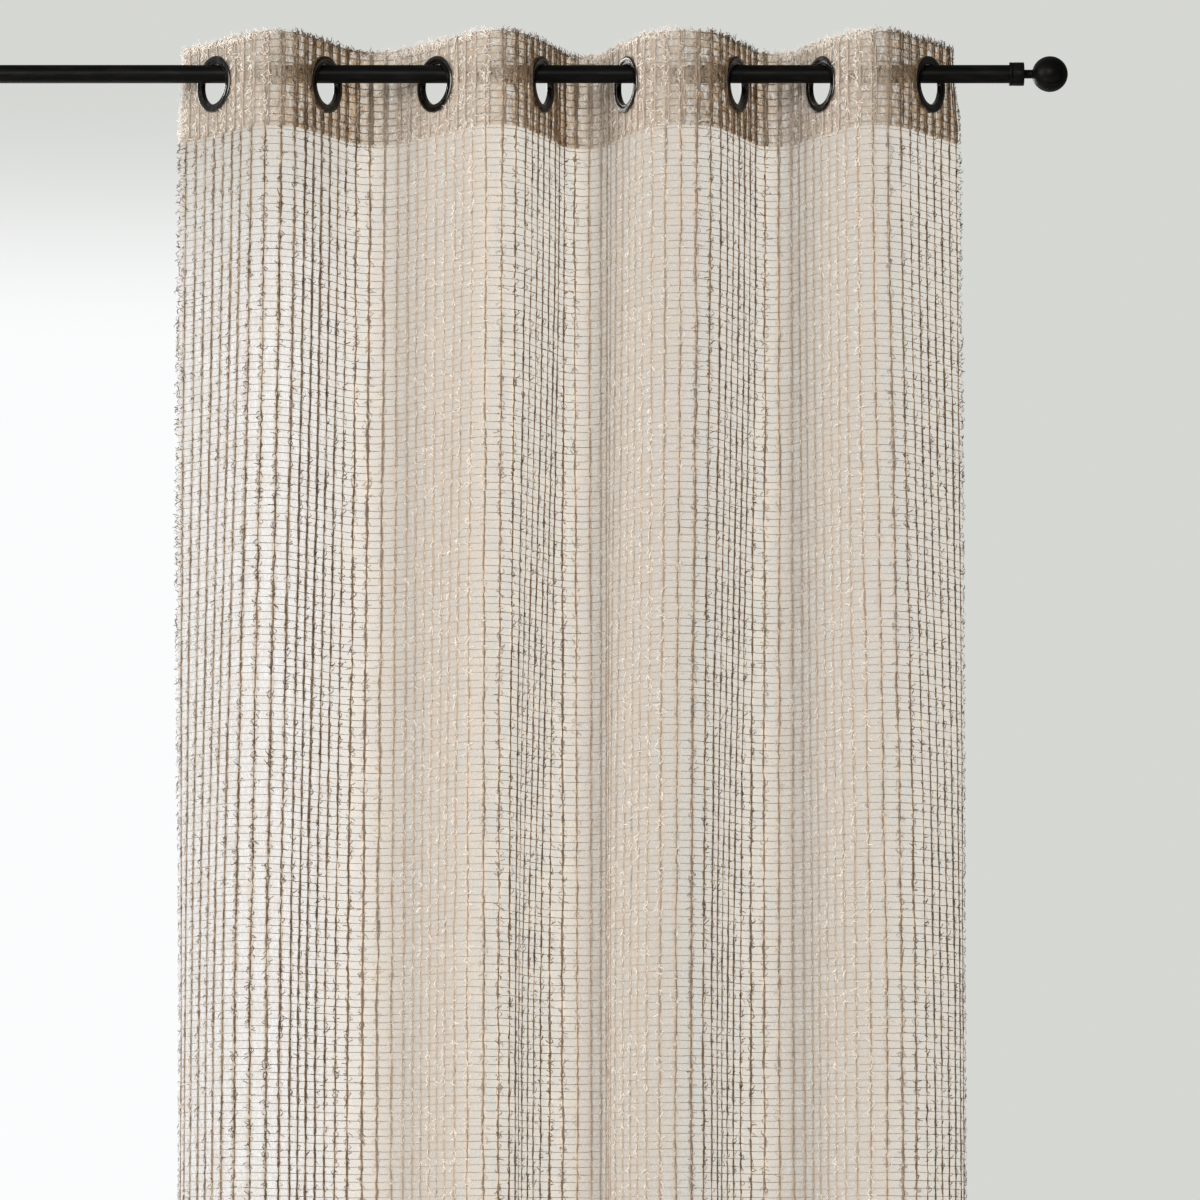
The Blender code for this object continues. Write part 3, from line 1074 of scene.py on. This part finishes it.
@dataclass
class VoileSheet:
    """A layer of the fine fibres between the yarns, as one thin sheet on the folds."""

    UV_NAME = "cut_cloth"

    name: str
    plan: ClothPlan
    eyelets: Eyelets
    finish: HazeFinish
    layer: Layer
    top_z: float
    bottom_z: float
    columns: int = 200
    fine_row: float = 0.005
    coarse_row: float = 0.030

    def _heights(self) -> np.ndarray:
        """Heights of the sheet's rows, closer together round the eyelets."""
        middle = max(self.bottom_z, self.plan.heading_z)
        upper = np.linspace(self.top_z, middle, round((self.top_z - middle) / self.fine_row) + 1)
        if self.bottom_z >= middle:
            return upper
        rows = round((middle - self.bottom_z) / self.coarse_row)
        return np.concatenate([upper, np.linspace(middle, self.bottom_z, rows + 1)[1:]])

    def build(self, slot: str) -> bpy.types.Object:
        """Build the sheet, with a round hole at each eyelet.

        Args:
            slot: The record's material slot; not used.

        Returns:
            The sheet, with the cut cloth as its UV map.
        """
        heights = self._heights()
        rows = len(heights) - 1
        bm = bmesh.new()
        bmesh.ops.create_grid(bm, x_segments=self.columns, y_segments=rows, size=0.5)
        for vertex in bm.verts:
            vertex.co = ((vertex.co.x + 0.5) * self.plan.width,
                         heights[round((vertex.co.y + 0.5) * rows)], 0.0)
        self._open_holes(bm)
        cloth, z, _ = np.array([vertex.co for vertex in bm.verts]).T
        points, _, _ = self.plan.hang(cloth, z, self.layer.value)
        painted_light = self.plan.painted_light(cloth, z)
        uv = bm.loops.layers.uv.new(self.UV_NAME)
        for vertex, point in zip(bm.verts, points):
            for loop in vertex.link_loops:
                loop[uv].uv = vertex.co.xy
            vertex.co = point
        mesh = to_mesh(self.name, bm)
        keep_painted_light(mesh, painted_light)
        return add_piece(self.name, mesh, self.finish.material())

    def _open_holes(self, bm: bmesh.types.BMesh) -> None:
        """Cut a hole in the flat cloth at each eyelet and round its edge.

        Args:
            bm: The flat cloth, with its places along X and its heights along Y.
        """
        radius = self.eyelets.cut_radius
        for centre in (Vector((*place, 0.0)) for place in self.eyelets.centres()):
            inside = [face for face in bm.faces
                      if (face.calc_center_median() - centre).length < radius]
            bmesh.ops.delete(bm, geom=inside, context="FACES")
            for vertex in bm.verts:
                away = vertex.co - centre
                if away.length < radius:
                    vertex.co = centre + away * (radius / away.length)


@dataclass
class YarnNet:
    """The upright slub yarns and the thin cross threads of one layer of cloth.

    A half is half a strand's width. The yarns are thicker round the middle of thick_band,
    whose second number is how far the thickening reaches.
    """

    plan: ClothPlan
    eyelets: Eyelets
    layer: Layer
    seed: int
    first_yarn: float = 0.0080
    yarn_pitch: float = 0.01688
    yarns: int = 83
    thread_pitch: float = 0.00819
    yarn_half: float = 0.00120
    thread_half: float = 0.00031
    thick_band: tuple[float, float] = (0.212, 0.042)
    thickening: float = 0.45
    yarn_drift: Wander = Wander(0.80 * MILLIMETRE, 16)
    yarn_wobble: Wander = Wander(0.62 * MILLIMETRE, 1.25)
    yarn_lift: Wander = Wander(0.20 * MILLIMETRE, 2.3)
    yarn_spread: float = 0.14
    short_slubs: Wander = Wander(0.46, 1.3)
    long_slubs: Wander = Wander(0.26, 9)
    yarn_bulk: tuple[float, float] = (0.45, 1.9)
    yarn_crest: float = 0.62
    yarn_top_ends: tuple[float, float] = (-0.5 * MILLIMETRE, 2.6 * MILLIMETRE)
    thread_drift: Wander = Wander(0.42 * MILLIMETRE, 5)
    thread_wobble: Wander = Wander(0.20 * MILLIMETRE, 1.3)
    thread_slubs: Wander = Wander(0.25, 3)
    thread_bulk: tuple[float, float] = (0.6, 1.6)
    thread_weave: float = 0.45 * MILLIMETRE
    thread_sag: float = 0.25 * MILLIMETRE
    thread_loose_end: float = 3.5 * MILLIMETRE

    def _rng(self, part: int) -> np.random.Generator:
        """The seeded source for one part of the net."""
        return np.random.default_rng([self.seed, part])

    def slub_yarns(self, top_z: float, bottom_z: float) -> list[StrandBundle]:
        """The upright yarns, as a left and a right half.

        Args:
            top_z: Where they begin.
            bottom_z: Where they end.

        Returns:
            Two bundles of strands.
        """
        rng = self._rng(1)
        points = round((top_z - bottom_z) / (self.thread_pitch / 2)) + 1
        z = np.linspace(top_z, bottom_z, points)[None, :] + np.zeros((self.yarns, 1))
        z[:, 0] += rng.uniform(*self.yarn_top_ends, self.yarns)
        start = self.first_yarn + self.yarn_pitch * np.arange(self.yarns)[:, None]
        cloth = (start + self.yarn_drift.draw(rng, self.yarns, points)
                 + self.yarn_wobble.draw(rng, self.yarns, points))
        shift = self.layer.value + self.yarn_lift.draw(rng, self.yarns, points)
        bulk = (1.0 + self.yarn_spread * rng.standard_normal((self.yarns, 1))
                + self.short_slubs.draw(rng, self.yarns, points)
                + self.long_slubs.draw(rng, self.yarns, points))
        middle, reach = self.thick_band
        bulk = bulk * (1.0 + self.thickening * np.exp(-((cloth - middle) / reach) ** 2))
        half = self.yarn_half * np.clip(bulk, *self.yarn_bulk)
        centres, along, out = self.plan.hang(cloth, z, shift)
        painted_light = self.plan.painted_light(cloth, z)
        kept = self.eyelets.clear_of(cloth, z, self.eyelets.cut_radius)
        return StrandBundle.halves(centres, along, out, half, half * self.yarn_crest, painted_light,
                                   kept)

    def cross_threads(self, top_z: float, bottom_z: float) -> list[StrandBundle]:
        """The cross threads, as an upper and a lower half.

        Args:
            top_z: Where the first one lies.
            bottom_z: Where the last one may lie.

        Returns:
            Two bundles of strands.
        """
        rng = self._rng(2)
        threads = int((top_z - bottom_z) / self.thread_pitch) + 1
        inner = self.first_yarn + self.yarn_pitch / 2 * np.arange(2 * self.yarns - 1)
        places = np.concatenate([[0.0], inner, [self.plan.width]])
        points = len(places)
        at_yarn = np.zeros(points)
        at_yarn[1:-1:2] = np.where(np.arange(self.yarns) % 2, 1.0, -1.0)
        weave = np.where(np.arange(threads) % 2, 1.0, -1.0)[:, None] * at_yarn[None, :]
        loose = (at_yarn == 0).astype(float)[None, :]
        height = top_z - self.thread_pitch * np.arange(threads)[:, None]
        z = (height + self.thread_drift.draw(rng, threads, points)
             + self.thread_wobble.draw(rng, threads, points) - loose * self.thread_sag)
        shift = self.layer.value + self.thread_weave * weave
        ends = np.zeros((threads, points))
        ends[:, 0] = -rng.uniform(0.0, self.thread_loose_end, threads)
        ends[:, -1] = rng.uniform(0.0, self.thread_loose_end, threads)
        cloth = places[None, :] + ends
        bulk = 1.0 + self.thread_slubs.draw(rng, threads, points)
        half = self.thread_half * np.clip(bulk, *self.thread_bulk)
        centres, _, out = self.plan.hang(cloth, z, shift)
        painted_light = self.plan.painted_light(cloth, z)
        upright = np.zeros_like(out)
        upright[..., 2] = -1.0
        kept = self.eyelets.clear_of(cloth, z, self.eyelets.cut_radius)
        return StrandBundle.halves(centres, upright, out, half, half, painted_light, kept)


@dataclass
class Fuzz:
    """The short hairs and small curls that stand off the yarns, as thin flat strips.

    A share is a part of all the hairs, a range is what is drawn from evenly, and a bow is
    how far the middle of a hair stands to the side of its ends.
    """

    name: str
    plan: ClothPlan
    eyelets: Eyelets
    net: YarnNet
    top_z: float
    bottom_z: float
    hairs: int
    seed: int
    heading_share: float = 0.0
    top_edge_share: float = 0.0
    side_edge_share: float = 0.045
    strip_points: int = 3
    stand: float = 0.0005
    root_half: float = 0.00054
    tip_half: float = 0.00036
    off_yarn: tuple[float, float] = (0.3 * MILLIMETRE, 1.5 * MILLIMETRE)
    heading_spread: float = 5.0 * MILLIMETRE
    top_edge: tuple[float, float] = (0.001, 0.005)
    clear_radius: float = 0.034
    curled_share: float = 0.78
    curl_length: tuple[float, float] = (2.5, 7.0)
    hair_length: tuple[float, float] = (3.0, 8.5)
    curl_lean: float = 0.65
    hair_lean: float = math.pi
    aim_out: tuple[float, float] = (-0.15, 0.30)
    curl_bow: tuple[float, float] = (1.0, 4.2)
    hair_bow: tuple[float, float] = (-1.4, 1.4)
    bow_out: tuple[float, float] = (0.1, 1.2)
    tilt: float = 0.3

    def _strips(self, root: np.ndarray, path: np.ndarray, bend: np.ndarray,
                half: np.ndarray) -> tuple[np.ndarray, np.ndarray]:
        """Points and faces of flat strips.

        Args:
            root: Where each strip starts, (hairs, 3).
            path: Its whole run, (hairs, 3).
            bend: How far its middle bows out, (hairs, 3).
            half: The direction of its width, (hairs, 3).

        Returns:
            The points, and the faces that join them.
        """
        share = np.linspace(0.0, 1.0, self.strip_points)
        bow = np.sin(share * math.pi)
        centre = (root[:, None, :] + share[None, :, None] * path[:, None, :]
                  + bow[None, :, None] * bend[:, None, :])
        taper = (self.root_half + (self.tip_half - self.root_half) * share)[None, :, None]
        points = np.stack([centre - half[:, None, :] * taper, centre + half[:, None, :] * taper],
                          axis=2)
        index = np.arange(len(root) * self.strip_points * 2).reshape(-1, self.strip_points, 2)
        faces = np.stack([index[:, :-1, 0], index[:, :-1, 1], index[:, 1:, 1], index[:, 1:, 0]],
                         axis=-1)
        return points.reshape(-1, 3), faces.reshape(-1, 4)

    def build(self, material: bpy.types.Material) -> bpy.types.Object:
        """Build the fuzz between two heights of the hung cloth.

        Args:
            material: The fuzz's material.

        Returns:
            One piece with every hair.
        """
        rng = np.random.default_rng(self.seed)
        yarn = rng.integers(0, self.net.yarns, self.hairs)
        hand = rng.choice([-1.0, 1.0], self.hairs)
        cloth = (self.net.first_yarn + self.net.yarn_pitch * yarn
                 + hand * rng.uniform(*self.off_yarn, self.hairs))
        z = rng.uniform(self.bottom_z, self.top_z, self.hairs)
        doubled = rng.random(self.hairs) < self.heading_share
        z[doubled] = rng.uniform(self.plan.heading_z, self.plan.top_z, doubled.sum())
        cloth[doubled] += rng.uniform(-self.heading_spread, self.heading_spread,
                                      doubled.sum())
        at_side = rng.random(self.hairs) < self.side_edge_share
        cloth[at_side] = np.where(hand[at_side] < 0.0, 0.0, self.plan.width)
        on_top = rng.random(self.hairs) < self.top_edge_share
        cloth[on_top] = rng.uniform(0.0, self.plan.width, on_top.sum())
        z[on_top] = self.plan.top_z - rng.uniform(*self.top_edge, on_top.sum())
        clear = self.eyelets.clear_of(cloth, z, self.clear_radius)
        cloth, z, hand = cloth[clear], z[clear], hand[clear, None]
        root, along, out = self.plan.hang(cloth, z, Layer.FRONT.value + self.stand)
        count = len(root)
        curled = rng.random(count) < self.curled_share
        length = np.where(curled, rng.uniform(*self.curl_length, count),
                          rng.uniform(*self.hair_length, count))
        lean = rng.uniform(-1.0, 1.0, count) * np.where(curled, self.curl_lean, self.hair_lean)
        rise = rng.choice([-1.0, 1.0], count)[:, None] * np.array([0.0, 0.0, 1.0])
        aim = np.sin(lean)[:, None] * along * hand + np.cos(lean)[:, None] * rise
        aim = aim + out * rng.uniform(*self.aim_out, count)[:, None]
        path = aim * (length * MILLIMETRE)[:, None]
        bow = np.where(curled, rng.uniform(*self.curl_bow, count),
                       rng.uniform(*self.hair_bow, count))
        bend = along * hand * (bow * MILLIMETRE)[:, None] + out * (
            rng.uniform(*self.bow_out, count) * MILLIMETRE)[:, None]
        points, faces = self._strips(root, path, bend, np.cross(aim, out) + self.tilt * out)
        mesh = bpy.data.meshes.new(self.name)
        mesh.from_pydata(points.tolist(), [], faces.tolist())
        keep_painted_light(mesh, np.repeat(self.plan.painted_light(cloth, z), 2 * self.strip_points))
        return add_piece(self.name, mesh, material)


@dataclass
class Curtain:
    """The hung net: its haze, yarns, cross threads, fuzz and doubled heading."""

    plan: ClothPlan
    eyelets: Eyelets
    haze: HazeFinish
    heading_haze: HazeFinish
    slub: YarnFinish
    heading_slub: YarnFinish
    thread: YarnFinish
    fluff: YarnFinish
    top_gap: float = 0.0012
    hem_gap: float = 0.0010
    thread_gap: float = 0.0008
    haze_top_gap: float = 0.0026
    haze_hem_gap: float = 0.0004
    heading_foot_gap: float = 0.0006
    fuzz_gap: float = 0.004
    heading_yarn_half: float = 0.00112
    back_offset: float = 0.0016
    twin_offset: float = 0.0036

    def _yarn_pieces(self, net: YarnNet, top_z: float, bottom_z: float, prefix: str) -> list[bpy.types.Object]:
        """The yarn and thread pieces of one layer.

        Args:
            net: The layer's net.
            top_z: Its upper end.
            bottom_z: Its lower end.
            prefix: What the pieces' names start with.

        Returns:
            The pieces.
        """
        pieces = []
        finish = self.slub if net.layer is Layer.FRONT else self.heading_slub
        slub, thread = finish.material(), self.thread.material()
        for part, bundle in zip(("left", "right"), net.slub_yarns(top_z, bottom_z)):
            name = f"{prefix}_yarns_{part}"
            pieces.append(add_piece(name, bundle.mesh(name), slub))
        threads = net.cross_threads(top_z - self.thread_gap, bottom_z)
        for part, bundle in zip(("upper", "lower"), threads):
            name = f"{prefix}_threads_{part}"
            pieces.append(add_piece(name, bundle.mesh(name), thread))
        return pieces

    def build(self, held_by: list[bpy.types.Object]) -> None:
        """Build the whole curtain.

        Args:
            held_by: The pieces that the cloth hangs from; not used.
        """
        plan = self.plan
        top_z, hem_z = plan.top_z - self.top_gap, plan.hem_z + self.hem_gap
        front = YarnNet(plan, self.eyelets, Layer.FRONT, seed=7)
        back = YarnNet(plan, self.eyelets, Layer.BACK, seed=19,
                       first_yarn=front.first_yarn + self.back_offset,
                       yarn_half=self.heading_yarn_half)
        haze_top = plan.top_z - self.haze_top_gap
        haze = VoileSheet("voile_haze", plan, self.eyelets, self.haze, Layer.FRONT,
                          haze_top, plan.hem_z + self.haze_hem_gap).build("voile")
        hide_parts("panel")
        yarns = self._yarn_pieces(front, top_z, hem_z, "voile")
        fluff, middle = self.fluff.material(), (plan.top_z + plan.hem_z) / 2
        fuzz = [Fuzz("yarn_fuzz_upper", plan, self.eyelets, front,
                     plan.top_z - self.fuzz_gap, middle, hairs=33000, seed=41,
                     heading_share=0.07, top_edge_share=0.05).build(fluff),
                Fuzz("yarn_fuzz_lower", plan, self.eyelets, front, middle,
                     plan.hem_z + self.fuzz_gap, hairs=27000, seed=43).build(fluff)]
        doubled = VoileSheet("heading_haze", plan, self.eyelets, self.heading_haze, Layer.BACK,
                             haze_top, plan.heading_z).build("heading")
        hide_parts("heading")
        heading_foot = plan.heading_z + self.heading_foot_gap
        back_yarns = self._yarn_pieces(back, top_z, heading_foot, "heading")
        twin = YarnNet(plan, self.eyelets, Layer.FRONT, seed=31,
                       first_yarn=front.first_yarn + self.twin_offset,
                       yarn_half=self.heading_yarn_half)
        name = "heading_twin_yarns"
        both = StrandBundle.joined(twin.slub_yarns(top_z, heading_foot))
        back_yarns.append(add_piece(name, both.mesh(name), self.heading_slub.material()))


@dataclass(frozen=True)
class SoftLight:
    """A soft square light, aimed at the curtain unless told otherwise."""

    name: str
    place: Colour
    size: tuple[float, float]
    watts: float
    colour: Colour
    aim: Colour = (0.1, 0.0, -0.85)

    def build(self) -> None:
        """Hang the light, out of the camera's sight."""
        data = bpy.data.lights.new(self.name, "AREA")
        data.shape = "RECTANGLE"
        data.size, data.size_y = self.size
        data.energy = self.watts
        data.color = self.colour
        light = bpy.data.objects.new(self.name, data)
        light.location = self.place
        light.rotation_euler = (Vector(self.aim) - Vector(self.place)).to_track_quat(
            "-Z", "Y").to_euler()
        light.visible_camera = False
        bpy.context.scene.collection.objects.link(light)


@dataclass
class Studio:
    """The camera, the soft lights, the pale surroundings and the floor.

    The glow stands for daylight at the lower left. Its ranges are components of a view's
    direction: where it ends to the right, to the left and above.
    """

    camera_place: Colour = (0.138, -6.700, -1.328)
    camera_tilt: float = 6.397
    focal_pixels: float = 6244.0
    image_pixels: float = 1200.0
    sensor_width: float = 36.0
    floor_z: float = -2.372
    floor_half: float = 30.0
    wall: Colour = (0.672, 0.682, 0.655)
    glow: Colour = (0.965, 0.975, 0.98)
    room_left: Colour = (0.46, 0.455, 0.44)
    room_right: Colour = (0.15, 0.148, 0.14)
    room_range: tuple[float, float] = (-0.9, 0.6)
    glow_right: tuple[float, float] = (-0.052, -0.030)
    glow_left: tuple[float, float] = (-0.50, -0.25)
    glow_top: tuple[float, float] = (0.150, 0.192)
    lights: tuple[SoftLight, ...] = (
        SoftLight("key_light", (-5.0, -3.4, 0.5), (3.2, 3.2), 350.0, WARM),
        SoftLight("window_light", (-1.25, 0.55, -1.0), (1.8, 1.7), 9.0, PALE,
                  aim=(-1.25, -1.0, -1.0)),
        SoftLight("back_light", (-3.4, 4.6, 0.2), (3.0, 3.0), 460.0, WARM),
        SoftLight("fill_light", (-0.6, -6.6, 0.9), (3.0, 3.0), 245.0, PALE),
    )

    def build(self) -> None:
        """Set up everything around the object."""
        scene = bpy.context.scene
        scene.view_settings.view_transform = "Standard"
        self._camera(scene)
        self._surroundings(scene)
        for light in self.lights:
            light.build()
        self._floor()

    def _camera(self, scene: bpy.types.Scene) -> None:
        """The camera at the photograph's angle."""
        data = bpy.data.cameras.new("camera")
        data.sensor_width = self.sensor_width
        data.lens = self.focal_pixels / self.image_pixels * self.sensor_width
        data.clip_end = 200.0
        camera = bpy.data.objects.new("camera", data)
        camera.location = self.camera_place
        camera.rotation_euler = (math.radians(90.0 + self.camera_tilt), 0.0, 0.0)
        scene.collection.objects.link(camera)
        scene.camera = camera

    def _surroundings(self, scene: bpy.types.Scene) -> None:
        """A pale surround, brighter to the left, that gives only a soft dim light itself."""
        scene.world = bpy.data.worlds.new("pale_surround")
        graph = Graph(scene.world)
        direction = graph.node("ShaderNodeTexCoord").outputs["Generated"]
        parts = graph.node("ShaderNodeSeparateXYZ", None, {0: direction})
        side, height = graph.value(parts, "X"), graph.value(parts, "Z")
        glow = ((1.0 - graph.step(side, *self.glow_right))
                * (1.0 - graph.step(height, *self.glow_top)))
        glow = glow * graph.step(side, *self.glow_left)
        seen = graph.blend(glow, self.wall, self.glow)
        room = graph.blend(graph.step(side, *self.room_range), self.room_left, self.room_right)
        looked_at = graph.value(graph.node("ShaderNodeLightPath"), "Is Camera Ray")
        colour = graph.blend(looked_at, room, seen)
        graph.finish(graph.node("ShaderNodeBackground", None,
                                {"Color": colour, "Strength": 1.0}).outputs[0])

    def _floor(self) -> None:
        """A plain pale floor just under the hem."""
        bm = bmesh.new()
        bmesh.ops.create_grid(bm, x_segments=1, y_segments=1, size=self.floor_half)
        bmesh.ops.translate(bm, verts=bm.verts, vec=(0.0, 0.0, self.floor_z))
        mesh = to_mesh("pale_floor", bm, smooth=False)
        mesh.materials.append(PaleFloorFinish().material())
        floor = bpy.data.objects.new("pale_floor", mesh)
        bpy.context.scene.collection.objects.link(floor)


def main() -> None:
    """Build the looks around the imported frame, piece by piece."""
    logging.basicConfig(level=logging.INFO, format="%(name)s: %(message)s")
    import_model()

    plan = ClothPlan()
    eyelets = Eyelets(plan, DarkChromeFinish())
    pitch = {"first_yarn": YarnNet.first_yarn, "yarn_pitch": YarnNet.yarn_pitch}
    # In each finish below, the last colour is the one painted on the fold sides that face the light; for the
    # yarns and the heading's fibres it is much paler than the colours before it, which are darkened for the
    # sides that face away: painted light and painted shade.
    curtain = Curtain(
        plan, eyelets,
        haze=HazeFinish("voile_fibres", (0.63, 0.525, 0.415), (0.73, 0.630, 0.505),
                        painted_light=(0.625, 0.528, 0.432), cover=0.37, contrast=1.1,
                        top_cover=-0.16, **pitch),
        heading_haze=HazeFinish("heading_fibres", (0.27, 0.168, 0.084), (0.39, 0.270, 0.152),
                                painted_light=(0.62, 0.57, 0.505), cover=0.70, contrast=3.0,
                                fibre_scale=(300.0, 120.0, 1.0), left_shade_cover=0.0,
                                left_shade_share=0.0, halo=0.25, **pitch),
        slub=YarnFinish("slub_yarn", body=(0.245, 0.165, 0.100), shade=(0.120, 0.075, 0.041),
                        fleck=(0.50, 0.41, 0.30), painted_light=(0.56, 0.485, 0.405),
                        light_paint_share=0.50, translucent=0.05),
        heading_slub=YarnFinish("heading_yarn", body=(0.235, 0.115, 0.036),
                                shade=(0.115, 0.050, 0.013), fleck=(0.42, 0.28, 0.14),
                                painted_light=(0.56, 0.495, 0.43), light_paint_share=0.75, translucent=0.08),
        thread=YarnFinish("cross_thread", body=(0.26, 0.212, 0.162),
                          shade=(0.18, 0.143, 0.106), fleck=(0.40, 0.34, 0.275),
                          painted_light=(0.45, 0.39, 0.325), translucent=0.08),
        fluff=YarnFinish("yarn_fluff", body=(0.150, 0.100, 0.060), shade=(0.085, 0.055, 0.032),
                         fleck=(0.66, 0.57, 0.46), painted_light=(0.90, 0.84, 0.765),
                         fleck_start=0.55, fleck_full=0.64, light_paint_share=0.72, translucent=0.12),
    )
    rings = eyelets.build()
    rod = RodWithFinials(SatinBlackFinish()).build()
    curtain.build([rod[0], *rings])
    Studio().build()


if __name__ == "__main__":
    main()
